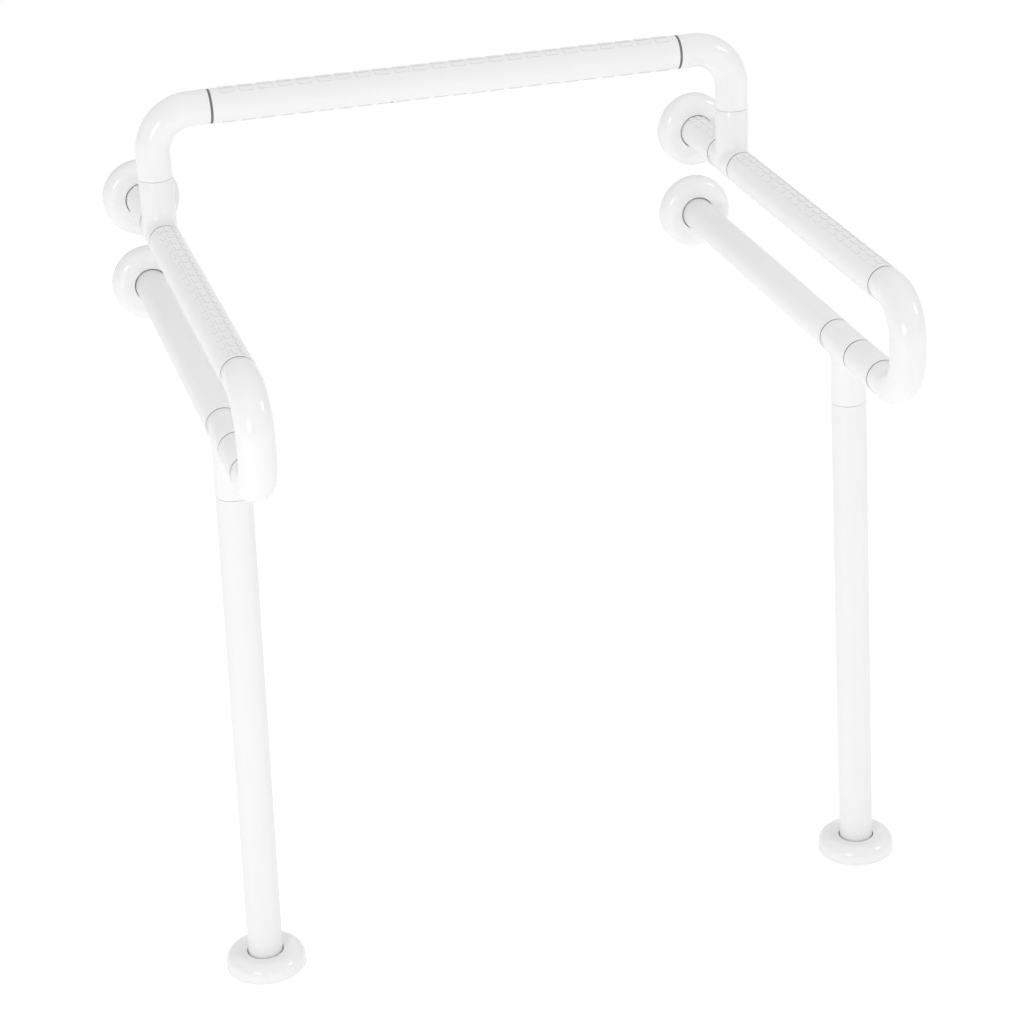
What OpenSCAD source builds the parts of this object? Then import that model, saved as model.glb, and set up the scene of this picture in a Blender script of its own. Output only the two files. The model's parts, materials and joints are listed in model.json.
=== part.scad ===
// Toilet safety frame: a grab frame of nylon-covered steel tube, fixed to the wall
// behind a toilet and to the floor on both sides of it. Millimetres.
//
// Origin: centre of the footprint, on the floor. +Z is up, the wall stands on the +Y
// side and the user sits facing -Y. "left" is -X and "right" is +X (side = -1 and 1).
//
// Every straight tube is a nylon sleeve over a steel core tube. Every moulding (tee or
// bend) holds a steel insert whose spigots plug into the core tubes next to it, and a
// grub screw locks each of those joints.

/* [Frame] */
// Distance from the wall to the front of the arms
frame_depth = 625; // [600:5:700]
// Distance between the centre lines of the two arms
arm_spacing = 618; // [580:2:700]
// Height of the handrails' centre line above the floor
handrail_height = 675; // [650:5:720]
// Distance between the centre lines of the handrail and the lower rail
rail_gap = 95; // [92:1:110]
// Height of the crossbar's centre line above the handrails
crossbar_rise = 125; // [120:5:160]
// Outward lean of each leg in degrees
leg_splay = 1.5; // [0:0.5:2]

/* [Tube] */
// Outer diameter of the nylon sleeves and mouldings
tube_d = 35; // [34:1:36]
// Outer diameter of the steel core tubes
core_d = 25; // [24:0.5:26]
// Wall thickness of the steel core tubes and of the steel inserts
core_wall = 1.5; // [1.2:0.1:2]
// Chamfer on the ends of the nylon sleeves
sleeve_chamfer = 0.6; // [0.3:0.1:1]

/* [Mouldings] */
// Distance from the wall to the centre of the upper tees
upper_tee_from_wall = 131; // [120:1:150]
// Distance from the wall to the centre of the lower tees
lower_tee_from_wall = 461; // [450:1:470]
// Half the length of a tee along its rail
tee_half = 31; // [28:1:34]
// Length of a tee's branch, from the rail's centre line
tee_branch = 58; // [52:1:62]
// Centre-line radius of the arm bends
arm_bend_r = 40; // [36:1:44]
// Straight length at each end of an arm bend
arm_bend_straight = 17.5; // [10:0.5:20]
// Centre-line radius of the corner bends
corner_bend_r = 42; // [36:1:46]
// Straight length of a corner bend on the crossbar's side
corner_straight = 19; // [12:1:24]

/* [Joints] */
// Width of the seal ring between a tube and a moulding
seal_w = 1.5; // [1:0.1:2]
// Width of the seal rings at the ends of the crossbar
crossbar_seal_w = 2.5; // [1.5:0.1:3]
// How far a seal ring lies below the surface of the tubes
seal_recess = 0.5; // [0.3:0.1:0.8]
// Length of a spigot inside a core tube
spigot_length = 25; // [20:1:25]
// Diameter of the grub screws
grub_d = 6; // [5:1:6]

/* [Wall and floor fixing] */
// Outer diameter of the round covers
cover_d = 80; // [78:1:84]
// Height of the round covers
cover_h = 18; // [16:1:22]
// Wall thickness of the round covers
cover_wall = 2.5; // [2:0.1:3]
// Radial gap between a cover and the tube that it slides on
cover_gap = 0.8; // [0.6:0.1:1]
// Diameter of the steel wall and floor plates
plate_d = 72; // [68:1:72]
// Thickness of the steel wall and floor plates
plate_t = 5; // [4:0.5:6]
// Pitch circle diameter of a plate's screw holes
plate_hole_pcd = 54; // [53:1:56]
// Diameter of a plate's screw holes
plate_hole_d = 6.6; // [5.5:0.1:7]

/* [Hidden] */
$fn = 96;
// Cutting tools pass this far beyond the faces that they cut
overrun = 1;
// Radial gap between pieces that plug into one another
plug_fit = 0.05;

tube_r = tube_d / 2;
core_r = core_d / 2;
core_bore_r = core_r - core_wall;
spigot_r = core_bore_r - plug_fit;
spigot_bore_r = spigot_r - core_wall - 1;
cover_r = cover_d / 2;
cover_hole_r = tube_r + cover_gap;
cover_edge_r = 10;
plate_r = plate_d / 2;
grub_r = grub_d / 2;

wall_y = frame_depth / 2;
arm_x = arm_spacing / 2;
lower_rail_height = handrail_height - rail_gap;
crossbar_height = handrail_height + crossbar_rise;
upper_tee_y = wall_y - upper_tee_from_wall;
lower_tee_y = wall_y - lower_tee_from_wall;
// Distance from the wall to the seams at the arm bends
arm_seam = frame_depth - tube_r - arm_bend_r - arm_bend_straight;
// Distance from the centre plane to the seams at the ends of the crossbar
crossbar_seam = arm_x - corner_bend_r - corner_straight;
// Straight length of a corner bend on the upper tee's side
corner_drop = crossbar_rise - corner_bend_r - tee_branch;

// Weld bead between a plate and its spigot, and where the tubes end above it
weld_h = 3;
tube_end = plate_t + weld_h + 0.5;
plate_spigot = plate_t + 30;
plate_holes = 3;
// Distance of the grub screws from a moulding's seam and from a tube's end at a plate
grub_from_seam = 13;
grub_from_end = 5;
grub_hole_r = grub_r + plug_fit;
sleeve_hole_r = grub_r + 0.6;
grub_top = tube_r - 1;
grub_socket_d = 3.4;
grub_socket_depth = 3;
// Place, turn and size of the screw under the crossbar that stops its sleeve from turning
lock_screw_x = -62;
lock_screw_turn = 25;
lock_screw_r = 1.6;
lock_screw_head_r = 2.6;
lock_screw_head_h = 1.6;
// Height of a floor cover's collar, where it meets the leaning leg
collar_z = cover_h - cover_wall / 2;
leg_foot_x = arm_x + lower_rail_height * tan(leg_splay);
floor_cover_x = arm_x + (lower_rail_height - collar_z) * tan(leg_splay);
// Hairline gap where two mouldings or a leg and its tee meet without a seal
butt_gap = 0.4;
// Distance from the rail's centre line to the lower end of a leg, along the leg
leg_end = (lower_rail_height - tube_end - 1) / cos(leg_splay);

nylon = [0.93, 0.93, 0.92];
steel = [0.72, 0.73, 0.75];
rubber = [0.12, 0.12, 0.13];

// ---- Places: each puts its children's +Z along a tube, with the grub screws on -Y ----

// Along a rail, away from the wall. The grub screws are underneath.
module along_rail(side, from_wall, height)
    translate([side * arm_x, wall_y - from_wall, height])
    rotate([90, 0, 0])
    children();

// Along a leg, down from the lower rail. The grub screws face the wall.
module along_leg(side, from_rail)
    translate([side * arm_x, lower_tee_y, lower_rail_height])
    rotate([0, -side * leg_splay, 0])
    rotate([180, 0, 0])
    translate([0, 0, from_rail])
    children();

// Up the branch of an upper tee. The grub screws face the wall.
module along_riser(side, from_rail)
    translate([side * arm_x, upper_tee_y, handrail_height + from_rail])
    rotate([0, 0, 180])
    children();

// Along the crossbar, to the right. The grub screws are underneath.
module along_crossbar(x)
    translate([x, upper_tee_y, crossbar_height])
    rotate([0, 90, 0])
    rotate([0, 0, 90])
    children();

// At a grub screw: children's +Z points out of the tube.
module at_screw(along)
    translate([0, 0, along])
    rotate([90, 0, 0])
    children();

// ---- Shapes that repeat ----

module pipe(outer_r, inner_r, length)
    difference() {
        cylinder(h = length, r = outer_r);
        translate([0, 0, -overrun]) cylinder(h = length + 2 * overrun, r = inner_r);
    }

// Nylon sleeve with chamfered ends and a hole over each grub screw.
module sleeve(length, screws)
    color(nylon)
    difference() {
        rotate_extrude()
            polygon([
                [core_r + plug_fit, 0],
                [tube_r - sleeve_chamfer, 0],
                [tube_r, sleeve_chamfer],
                [tube_r, length - sleeve_chamfer],
                [tube_r - sleeve_chamfer, length],
                [core_r + plug_fit, length]
            ]);
        for (along = screws)
            at_screw(along) cylinder(h = tube_r + overrun, r = sleeve_hole_r);
    }

// Steel core tube with a threaded hole for each grub screw.
module core(length, screws)
    color(steel)
    difference() {
        pipe(core_r, core_bore_r, length);
        for (along = screws)
            at_screw(along) cylinder(h = core_r + overrun, r = grub_hole_r);
    }

// A quarter of a round bend about the Z axis, from the +X axis to the +Y axis.
module quarter_bend(bend_r, outer_r, inner_r)
    rotate_extrude(angle = 90)
    translate([bend_r, 0])
    difference() {
        circle(r = outer_r);
        circle(r = inner_r);
    }

// U-bend with both ends on the X = 0 plane, opening towards -X. Each end is made longer by tail.
module u_bend(outer_r, inner_r, tail)
    for (turn = [0, 1]) mirror([0, turn, 0]) {
        translate([-tail, rail_gap / 2, 0])
            rotate([0, 90, 0]) pipe(outer_r, inner_r, arm_bend_straight + tail);
        translate([arm_bend_straight, rail_gap / 2 - arm_bend_r, 0])
            quarter_bend(arm_bend_r, outer_r, inner_r);
        translate([arm_bend_straight + arm_bend_r, 0, 0])
            rotate([-90, 0, 0]) pipe(outer_r, inner_r, rail_gap / 2 - arm_bend_r);
    }

// Right-angled bend in the XZ plane round the origin. Each end is made longer by its tail.
module corner(outer_r, inner_r, cut_bar, cut_riser, tail)
    rotate([90, 0, 0]) {
        quarter_bend(corner_bend_r, outer_r, inner_r);
        translate([0, corner_bend_r, 0])
            rotate([0, -90, 0]) pipe(outer_r, inner_r, corner_straight - cut_bar + tail);
        translate([corner_bend_r, 0, 0])
            rotate([90, 0, 0]) pipe(outer_r, inner_r, corner_drop - cut_riser + tail);
    }

module grub_screw()
    translate([0, 0, core_bore_r])
    difference() {
        cylinder(h = grub_top - core_bore_r, r = grub_r);
        translate([0, 0, grub_top - core_bore_r - grub_socket_depth])
            cylinder(h = grub_socket_depth + overrun, d = grub_socket_d, $fn = 6);
    }

module seal_ring(width)
    translate([0, 0, -width / 2])
    pipe(tube_r - seal_recess, spigot_r + plug_fit, width);

// Screw holes of a wall or floor plate, on their pitch circle.
module plate_holes()
    for (i = [0 : plate_holes - 1])
        rotate([0, 0, 90 + i * 360 / plate_holes])
        translate([plate_hole_pcd / 2, 0, -overrun])
        cylinder(h = plate_t + 2 * overrun, d = plate_hole_d);

// Steel plate with a welded spigot. The spigot leans by tilt degrees towards +X.
module plate(tilt)
    color(steel)
    difference() {
        union() {
            cylinder(h = plate_t, r = plate_r);
            intersection() {
                rotate([0, tilt, 0]) {
                    cylinder(h = plate_spigot, r = spigot_r);
                    cylinder(h = plate_t + weld_h, r1 = spigot_r + plate_t + weld_h, r2 = spigot_r);
                }
                translate([0, 0, overrun]) cylinder(h = 2 * plate_spigot, r = plate_r);
            }
        }
        plate_holes();
    }

// Half section of a round cover's outside, or of its inside when inset is the wall thickness.
module cover_section(inset) {
    edge_r = cover_edge_r - inset;
    corner_r = cover_r - cover_edge_r;
    corner_z = cover_h - cover_edge_r;
    square([cover_r - inset, corner_z]);
    square([corner_r, cover_h - inset]);
    translate([corner_r, corner_z]) circle(r = edge_r);
}

module cover()
    color(nylon)
    rotate_extrude()
    difference() {
        intersection() {
            cover_section(0);
            square([cover_r, cover_h]);
        }
        intersection() {
            cover_section(cover_wall);
            translate([0, -overrun]) square([cover_r, cover_h]);
        }
        translate([0, -overrun]) square([cover_r - cover_wall, 2 * overrun]);
        translate([0, -overrun]) square([cover_hole_r, cover_h + 2 * overrun]);
    }

// ---- Crossbar ----

crossbar_tube = 2 * crossbar_seam - crossbar_seal_w;
crossbar_screws = [grub_from_seam, crossbar_tube - grub_from_seam];
lock_screw_along = crossbar_tube / 2 + lock_screw_x;

// Turned a little from straight down, towards the user
module at_lock_screw()
    along_crossbar(-crossbar_tube / 2)
    rotate([0, 0, -lock_screw_turn])
    at_screw(lock_screw_along)
    children();

module crossbar_sleeve()
    difference() {
        along_crossbar(-crossbar_tube / 2) sleeve(crossbar_tube, crossbar_screws);
        at_lock_screw() {
            cylinder(h = tube_r + overrun, r = lock_screw_r + plug_fit);
            translate([0, 0, tube_r - lock_screw_head_h])
                cylinder(h = lock_screw_head_h + overrun, r = lock_screw_head_r + plug_fit);
        }
    }

module crossbar_core()
    difference() {
        along_crossbar(-crossbar_tube / 2) core(crossbar_tube, crossbar_screws);
        at_lock_screw() cylinder(h = tube_r, r = lock_screw_r + plug_fit);
    }

module crossbar_lock_screw()
    color(steel)
    at_lock_screw()
    translate([0, 0, core_bore_r - 1]) {
        cylinder(h = tube_r - core_bore_r, r = lock_screw_r);
        translate([0, 0, tube_r - core_bore_r + 1 - lock_screw_head_h])
            difference() {
                cylinder(h = lock_screw_head_h - 0.4, r = lock_screw_head_r);
                translate([0, 0, 0.4])
                    cylinder(h = lock_screw_head_h, d = grub_socket_d - 0.8, $fn = 6);
            }
    }

// ---- Corner bends: from the ends of the crossbar down to the upper tees ----

module at_corner(side)
    mirror([side < 0 ? 1 : 0, 0, 0])
    translate([arm_x - corner_bend_r, upper_tee_y, crossbar_height - corner_bend_r])
    children();

module corner_bend(side)
    color(nylon)
    at_corner(side) corner(tube_r, core_bore_r, crossbar_seal_w / 2, butt_gap, 0);

module corner_bend_core(side)
    color(steel)
    at_corner(side) corner(spigot_r, spigot_bore_r, 0, 0, spigot_length);

// ---- Upper tees: on the handrails, with a socket for the corner bend ----

socket_depth = spigot_length + 1;
upper_tee_length = 2 * tee_half - seal_w;

module upper_tee(side)
    color(nylon)
    difference() {
        union() {
            along_rail(side, upper_tee_from_wall - upper_tee_length / 2, handrail_height)
                cylinder(h = upper_tee_length, r = tube_r);
            along_riser(side, 0) cylinder(h = tee_branch, r = tube_r);
        }
        along_rail(side, upper_tee_from_wall - tee_half - overrun, handrail_height)
            cylinder(h = 2 * (tee_half + overrun), r = core_bore_r);
        along_riser(side, 0) cylinder(h = tee_branch + overrun, r = core_r + plug_fit);
        along_riser(side, tee_branch - grub_from_seam)
            at_screw(0) cylinder(h = tube_r + overrun, r = sleeve_hole_r);
    }

module upper_tee_insert(side)
    color(steel)
    difference() {
        union() {
            along_rail(side, upper_tee_from_wall - tee_half - spigot_length, handrail_height)
                cylinder(h = 2 * (tee_half + spigot_length), r = spigot_r);
            along_riser(side, 0) cylinder(h = tee_branch, r = core_r);
        }
        along_rail(side, upper_tee_from_wall - tee_half - spigot_length - overrun, handrail_height)
            cylinder(h = 2 * (tee_half + spigot_length + overrun), r = spigot_bore_r);
        along_riser(side, tee_branch - socket_depth)
            cylinder(h = socket_depth + overrun, r = core_bore_r);
        along_riser(side, tee_branch - grub_from_seam)
            at_screw(0) cylinder(h = core_r + overrun, r = grub_hole_r);
    }

// ---- Stubs: from the upper wall plates to the upper tees ----

stub_tube = upper_tee_from_wall - tee_half - seal_w / 2 - tube_end;
stub_screws = [grub_from_end, stub_tube - grub_from_seam];

module stub_sleeve(side)
    along_rail(side, tube_end, handrail_height) sleeve(stub_tube, stub_screws);

module stub_core(side)
    along_rail(side, tube_end, handrail_height) core(stub_tube, stub_screws);

// ---- Handrails: from the upper tees to the arm bends ----

handrail_start = upper_tee_from_wall + tee_half + seal_w / 2;
handrail_tube = arm_seam - seal_w / 2 - handrail_start;
handrail_screws = [grub_from_seam, handrail_tube - grub_from_seam];

module handrail_sleeve(side)
    along_rail(side, handrail_start, handrail_height) sleeve(handrail_tube, handrail_screws);

module handrail_core(side)
    along_rail(side, handrail_start, handrail_height) core(handrail_tube, handrail_screws);

// ---- Arm bends: join the handrails and the lower rails at the front ----

module at_arm_bend(side)
    translate([side * arm_x, wall_y - arm_seam, handrail_height - rail_gap / 2])
    rotate([90, 0, -90])
    children();

module arm_bend(side)
    color(nylon)
    difference() {
        at_arm_bend(side) u_bend(tube_r, core_bore_r, 0);
        for (height = [handrail_height, lower_rail_height])
            along_rail(side, arm_seam - overrun, height)
                cylinder(h = seal_w / 2 + overrun, r = tube_r + overrun);
    }

module arm_bend_core(side)
    color(steel)
    at_arm_bend(side) u_bend(spigot_r, spigot_bore_r, spigot_length);

// ---- Short tubes: from the arm bends back to the lower tees ----

short_start = lower_tee_from_wall + tee_half + seal_w / 2;
short_tube = arm_seam - seal_w / 2 - short_start;
short_screws = [grub_from_seam, short_tube - grub_from_seam];

module short_sleeve(side)
    along_rail(side, short_start, lower_rail_height) sleeve(short_tube, short_screws);

module short_core(side)
    along_rail(side, short_start, lower_rail_height) core(short_tube, short_screws);

// ---- Lower tees: on the lower rails, each with a spigot for its leg ----

lower_tee_length = 2 * tee_half - seal_w;

module lower_tee(side)
    color(nylon)
    difference() {
        union() {
            along_rail(side, lower_tee_from_wall - lower_tee_length / 2, lower_rail_height)
                cylinder(h = lower_tee_length, r = tube_r);
            along_leg(side, 0) cylinder(h = tee_branch, r = tube_r);
        }
        along_rail(side, lower_tee_from_wall - tee_half - overrun, lower_rail_height)
            cylinder(h = 2 * (tee_half + overrun), r = core_bore_r);
        along_leg(side, 0) cylinder(h = tee_branch + overrun, r = core_bore_r);
    }

module lower_tee_insert(side)
    color(steel)
    difference() {
        union() {
            along_rail(side, lower_tee_from_wall - tee_half - spigot_length, lower_rail_height)
                cylinder(h = 2 * (tee_half + spigot_length), r = spigot_r);
            along_leg(side, 0) cylinder(h = tee_branch + spigot_length, r = spigot_r);
        }
        along_rail(side, lower_tee_from_wall - tee_half - spigot_length - overrun, lower_rail_height)
            cylinder(h = 2 * (tee_half + spigot_length + overrun), r = spigot_bore_r);
        along_leg(side, 0) cylinder(h = tee_branch + spigot_length + overrun, r = spigot_bore_r);
    }

// ---- Lower rails: from the lower wall plates to the lower tees ----

lower_rail_tube = lower_tee_from_wall - tee_half - seal_w / 2 - tube_end;
lower_rail_screws = [grub_from_end, lower_rail_tube - grub_from_seam];

module lower_rail_sleeve(side)
    along_rail(side, tube_end, lower_rail_height) sleeve(lower_rail_tube, lower_rail_screws);

module lower_rail_core(side)
    along_rail(side, tube_end, lower_rail_height) core(lower_rail_tube, lower_rail_screws);

// ---- Legs: from the lower tees down to the floor plates ----

leg_start = tee_branch + butt_gap;
leg_tube = leg_end - leg_start;
leg_screws = [grub_from_seam, leg_tube - grub_from_end];

module leg_sleeve(side)
    along_leg(side, leg_start) sleeve(leg_tube, leg_screws);

module leg_core(side)
    along_leg(side, leg_start) core(leg_tube, leg_screws);

// ---- Seal rings: one at each joint between a straight tube and a moulding ----

module seal_rings(side)
    color(rubber) {
        for (from_wall = [upper_tee_from_wall - tee_half, upper_tee_from_wall + tee_half, arm_seam])
            along_rail(side, from_wall, handrail_height) seal_ring(seal_w);
        for (from_wall = [lower_tee_from_wall - tee_half, lower_tee_from_wall + tee_half, arm_seam])
            along_rail(side, from_wall, lower_rail_height) seal_ring(seal_w);
        along_crossbar(side * crossbar_seam) seal_ring(crossbar_seal_w);
    }

// ---- Grub screws: one through each end of every core tube ----

module grub_screws(side)
    color(steel) {
        for (along = stub_screws)
            along_rail(side, tube_end, handrail_height) at_screw(along) grub_screw();
        for (along = handrail_screws)
            along_rail(side, handrail_start, handrail_height) at_screw(along) grub_screw();
        for (along = short_screws)
            along_rail(side, short_start, lower_rail_height) at_screw(along) grub_screw();
        for (along = lower_rail_screws)
            along_rail(side, tube_end, lower_rail_height) at_screw(along) grub_screw();
        for (along = leg_screws)
            along_leg(side, leg_start) at_screw(along) grub_screw();
        along_riser(side, tee_branch - grub_from_seam) at_screw(0) grub_screw();
        along_crossbar(side * (crossbar_tube / 2 - grub_from_seam)) at_screw(0) grub_screw();
    }

// ---- Wall and floor plates, and the covers that slide over them ----

module wall_plate(side, height)
    along_rail(side, 0, height) plate(0);

module floor_plate(side)
    translate([side * leg_foot_x, lower_tee_y, 0]) plate(-side * leg_splay);

module wall_cover(side, height)
    along_rail(side, 0, height) cover();

module floor_cover(side)
    translate([side * floor_cover_x, lower_tee_y, 0]) cover();

// ---- Output ----

crossbar_sleeve();
crossbar_core();
crossbar_lock_screw();
corner_bend(-1);  // corner_bend_left
corner_bend_core(-1);  // corner_bend_core_left
corner_bend(1);  // corner_bend_right
corner_bend_core(1);  // corner_bend_core_right
upper_tee(-1);  // upper_tee_left
upper_tee_insert(-1);  // upper_tee_insert_left
upper_tee(1);  // upper_tee_right
upper_tee_insert(1);  // upper_tee_insert_right
stub_sleeve(-1);  // stub_sleeve_left
stub_core(-1);  // stub_core_left
stub_sleeve(1);  // stub_sleeve_right
stub_core(1);  // stub_core_right
handrail_sleeve(-1);  // handrail_sleeve_left
handrail_core(-1);  // handrail_core_left
handrail_sleeve(1);  // handrail_sleeve_right
handrail_core(1);  // handrail_core_right
arm_bend(-1);  // arm_bend_left
arm_bend_core(-1);  // arm_bend_core_left
arm_bend(1);  // arm_bend_right
arm_bend_core(1);  // arm_bend_core_right
short_sleeve(-1);  // short_sleeve_left
short_core(-1);  // short_core_left
short_sleeve(1);  // short_sleeve_right
short_core(1);  // short_core_right
lower_tee(-1);  // lower_tee_left
lower_tee_insert(-1);  // lower_tee_insert_left
lower_tee(1);  // lower_tee_right
lower_tee_insert(1);  // lower_tee_insert_right
lower_rail_sleeve(-1);  // lower_rail_sleeve_left
lower_rail_core(-1);  // lower_rail_core_left
lower_rail_sleeve(1);  // lower_rail_sleeve_right
lower_rail_core(1);  // lower_rail_core_right
leg_sleeve(-1);  // leg_sleeve_left
leg_core(-1);  // leg_core_left
leg_sleeve(1);  // leg_sleeve_right
leg_core(1);  // leg_core_right
seal_rings(-1);  // seal_rings_left
seal_rings(1);  // seal_rings_right
grub_screws(-1);  // grub_screws_left
grub_screws(1);  // grub_screws_right
wall_plate(-1, handrail_height);  // wall_plate_upper_left
wall_plate(1, handrail_height);  // wall_plate_upper_right
wall_plate(-1, lower_rail_height);  // wall_plate_lower_left
wall_plate(1, lower_rail_height);  // wall_plate_lower_right
floor_plate(-1);  // floor_plate_left
floor_plate(1);  // floor_plate_right
wall_cover(-1, handrail_height);  // wall_cover_upper_left
wall_cover(1, handrail_height);  // wall_cover_upper_right
wall_cover(-1, lower_rail_height);  // wall_cover_lower_left
wall_cover(1, lower_rail_height);  // wall_cover_lower_right
floor_cover(-1);  // floor_cover_left
floor_cover(1);  // floor_cover_right
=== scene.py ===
import json
import math
from contextlib import contextmanager

import bmesh
import bpy
from mathutils import Matrix, Vector


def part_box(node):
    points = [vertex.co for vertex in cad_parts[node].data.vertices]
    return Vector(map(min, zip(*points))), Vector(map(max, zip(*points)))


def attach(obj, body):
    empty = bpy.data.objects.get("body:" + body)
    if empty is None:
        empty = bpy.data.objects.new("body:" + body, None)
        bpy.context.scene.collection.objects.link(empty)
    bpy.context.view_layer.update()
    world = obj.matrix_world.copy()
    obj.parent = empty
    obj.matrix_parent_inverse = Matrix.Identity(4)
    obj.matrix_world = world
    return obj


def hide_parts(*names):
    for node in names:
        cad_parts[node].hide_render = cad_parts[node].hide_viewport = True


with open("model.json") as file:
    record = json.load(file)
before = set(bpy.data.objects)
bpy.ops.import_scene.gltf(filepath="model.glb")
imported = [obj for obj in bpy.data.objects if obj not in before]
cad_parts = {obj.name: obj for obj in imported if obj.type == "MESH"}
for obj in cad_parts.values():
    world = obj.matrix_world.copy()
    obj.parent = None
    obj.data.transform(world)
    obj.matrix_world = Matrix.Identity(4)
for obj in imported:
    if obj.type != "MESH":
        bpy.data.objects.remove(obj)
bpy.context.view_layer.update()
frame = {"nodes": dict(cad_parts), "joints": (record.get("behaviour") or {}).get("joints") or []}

# ---- Wall and floor plates ----
# Each is a stainless disc, stamped from sheet, with a short steel spigot welded upright on it.
# Three screws hold it to the wall or the floor, and the end of a rail or leg is pushed over the
# spigot. The covers hide the plates, and show them when they are slid back.

SIDES = {"left": -1, "right": 1}
UP = Vector((0, 0, 1))
FRONT = Vector((0, -1, 0))
RIGHT = Vector((1, 0, 0))


def pick(piece):
    bpy.ops.object.select_all(action="DESELECT")
    piece.select_set(True)
    bpy.context.view_layer.objects.active = piece


@contextmanager
def editing(piece):
    pick(piece)
    bpy.ops.object.mode_set(mode="EDIT")
    yield
    bpy.ops.object.mode_set(mode="OBJECT")


def choose(piece, kind, test):
    """In edit mode, selects the faces or edges that pass the test of their middle and themselves."""
    bpy.ops.mesh.select_mode(type=kind)
    bpy.ops.mesh.select_all(action="DESELECT")
    shape = bmesh.from_edit_mesh(piece.data)
    for part in shape.faces if kind == "FACE" else shape.edges:
        middle = sum((corner.co for corner in part.verts), Vector()) / len(part.verts)
        part.select_set(bool(test(middle, part)))
    bmesh.update_edit_mesh(piece.data)


def draw_out(by):
    """In edit mode, extrudes what is selected by this vector."""
    bpy.ops.mesh.extrude_region_move(TRANSFORM_OT_translate={"value": by})


def from_axis(point):
    return math.hypot(point.x, point.y)


def on_rim(radius, height, slack=0.00005):
    """A test for the edges of a round rim about the Z axis."""
    def test(middle, edge):
        return all(
            abs(from_axis(corner.co) - radius) < slack and abs(corner.co.z - height) < slack
            for corner in edge.verts
        )
    return test


def place_in_mesh(piece):
    pick(piece)
    bpy.ops.object.transform_apply(location=True, rotation=True, scale=True)


def cylinder(radius, low, high, segments=96, ends="NGON"):
    bpy.ops.mesh.primitive_cylinder_add(
        vertices=segments, radius=radius, depth=high - low,
        end_fill_type=ends, location=(0, 0, (low + high) / 2),
    )
    place_in_mesh(bpy.context.object)
    return bpy.context.object


def apply_modifier(piece, kind, **settings):
    pick(piece)
    modifier = piece.modifiers.new(kind.lower(), kind)
    for name, value in settings.items():
        setattr(modifier, name, value)
    bpy.ops.object.modifier_apply(modifier=modifier.name)


def combine(piece, tool, operation):
    apply_modifier(piece, "BOOLEAN", object=tool, operation=operation, solver="EXACT")
    bpy.data.objects.remove(tool)


def lay(piece, start, along, top):
    """Turns a piece's +Z to along and its +X to top, and moves its origin to start."""
    across = along.cross(top)
    turn = Matrix((top, across, along)).transposed()
    piece.matrix_world = Matrix.Translation(start) @ turn.to_4x4()
    place_in_mesh(piece)


def remember_own_place(piece):
    """Keeps where each point lies on the piece itself, for patterns that follow the piece."""
    places = piece.data.attributes.new("own_place", "FLOAT_VECTOR", "POINT")
    for place, corner in zip(places.data, piece.data.vertices):
        place.vector = corner.co


def finish_piece(piece, name, body, material, nodes, smooth_below=35):
    pick(piece)
    bpy.ops.object.shade_smooth_by_angle(angle=math.radians(smooth_below))
    piece.name = name
    piece.data.name = name
    piece.data.materials.clear()
    piece.data.materials.append(material)
    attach(piece, body)
    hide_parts(*nodes)


def add_node(tree, kind, inputs=None, **settings):
    node = tree.nodes.new(kind)
    for name, value in settings.items():
        setattr(node, name, value)
    for name, value in (inputs or {}).items():
        if isinstance(value, bpy.types.NodeSocket):
            tree.links.new(value, node.inputs[name])
        else:
            node.inputs[name].default_value = value
    return node


def new_material(name, **constants):
    """A material with its shader's fixed values set. Returns it with its tree and its shader."""
    material = bpy.data.materials.new(name)
    material.use_nodes = True
    shader = material.node_tree.nodes["Principled BSDF"]
    for socket, value in constants.items():
        shader.inputs[socket.replace("_", " ")].default_value = value
    return material, material.node_tree, shader


def spread(tree, value, low, high, start=0.3, end=0.7):
    """A noise value, stretched from its usual span of start to end onto low to high."""
    return add_node(tree, "ShaderNodeMapRange", {
        "Value": value, "From Min": start, "From Max": end, "To Min": low, "To Max": high,
    }).outputs["Result"]


def noise(tree, place, scale, detail=2.0):
    return add_node(tree, "ShaderNodeTexNoise", {
        "Vector": place, "Scale": scale, "Detail": detail,
    }).outputs["Fac"]


def stretched(tree, place, scale):
    """The place, multiplied along each axis. The smallest number gives the direction of a grain."""
    return add_node(tree, "ShaderNodeMapping", {"Vector": place, "Scale": scale}).outputs["Vector"]


def distance_from_axis(tree, place):
    """How far a place is from the piece's own Z axis."""
    flat = add_node(tree, "ShaderNodeVectorMath", {0: place, 1: (1, 1, 0)}, operation="MULTIPLY")
    length = add_node(tree, "ShaderNodeVectorMath", {0: flat.outputs[0]}, operation="LENGTH")
    return length.outputs["Value"]


def colour_steps(tree, value, steps):
    """Colours along a value from 0 to 1. Each step is a position and its colour."""
    ramp = add_node(tree, "ShaderNodeValToRGB", {"Fac": value})
    marks = ramp.color_ramp.elements
    marks.remove(marks[1])
    marks[0].position, marks[0].color = steps[0]
    for position, colour in steps[1:]:
        marks.new(position).color = colour
    return ramp.outputs["Color"]


def bump(tree, shader, height, distance):
    """Lays one more layer of relief under the shader."""
    layer = add_node(tree, "ShaderNodeBump", {"Height": height, "Distance": distance})
    if shader.inputs["Normal"].is_linked:
        tree.links.new(shader.inputs["Normal"].links[0].from_socket, layer.inputs["Normal"])
    tree.links.new(layer.outputs["Normal"], shader.inputs["Normal"])


def mix_colours(tree, share, first, second):
    return add_node(tree, "ShaderNodeMix", {"Factor": share, "A": first, "B": second}, data_type="RGBA")


tint_wander = 0.0012


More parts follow.
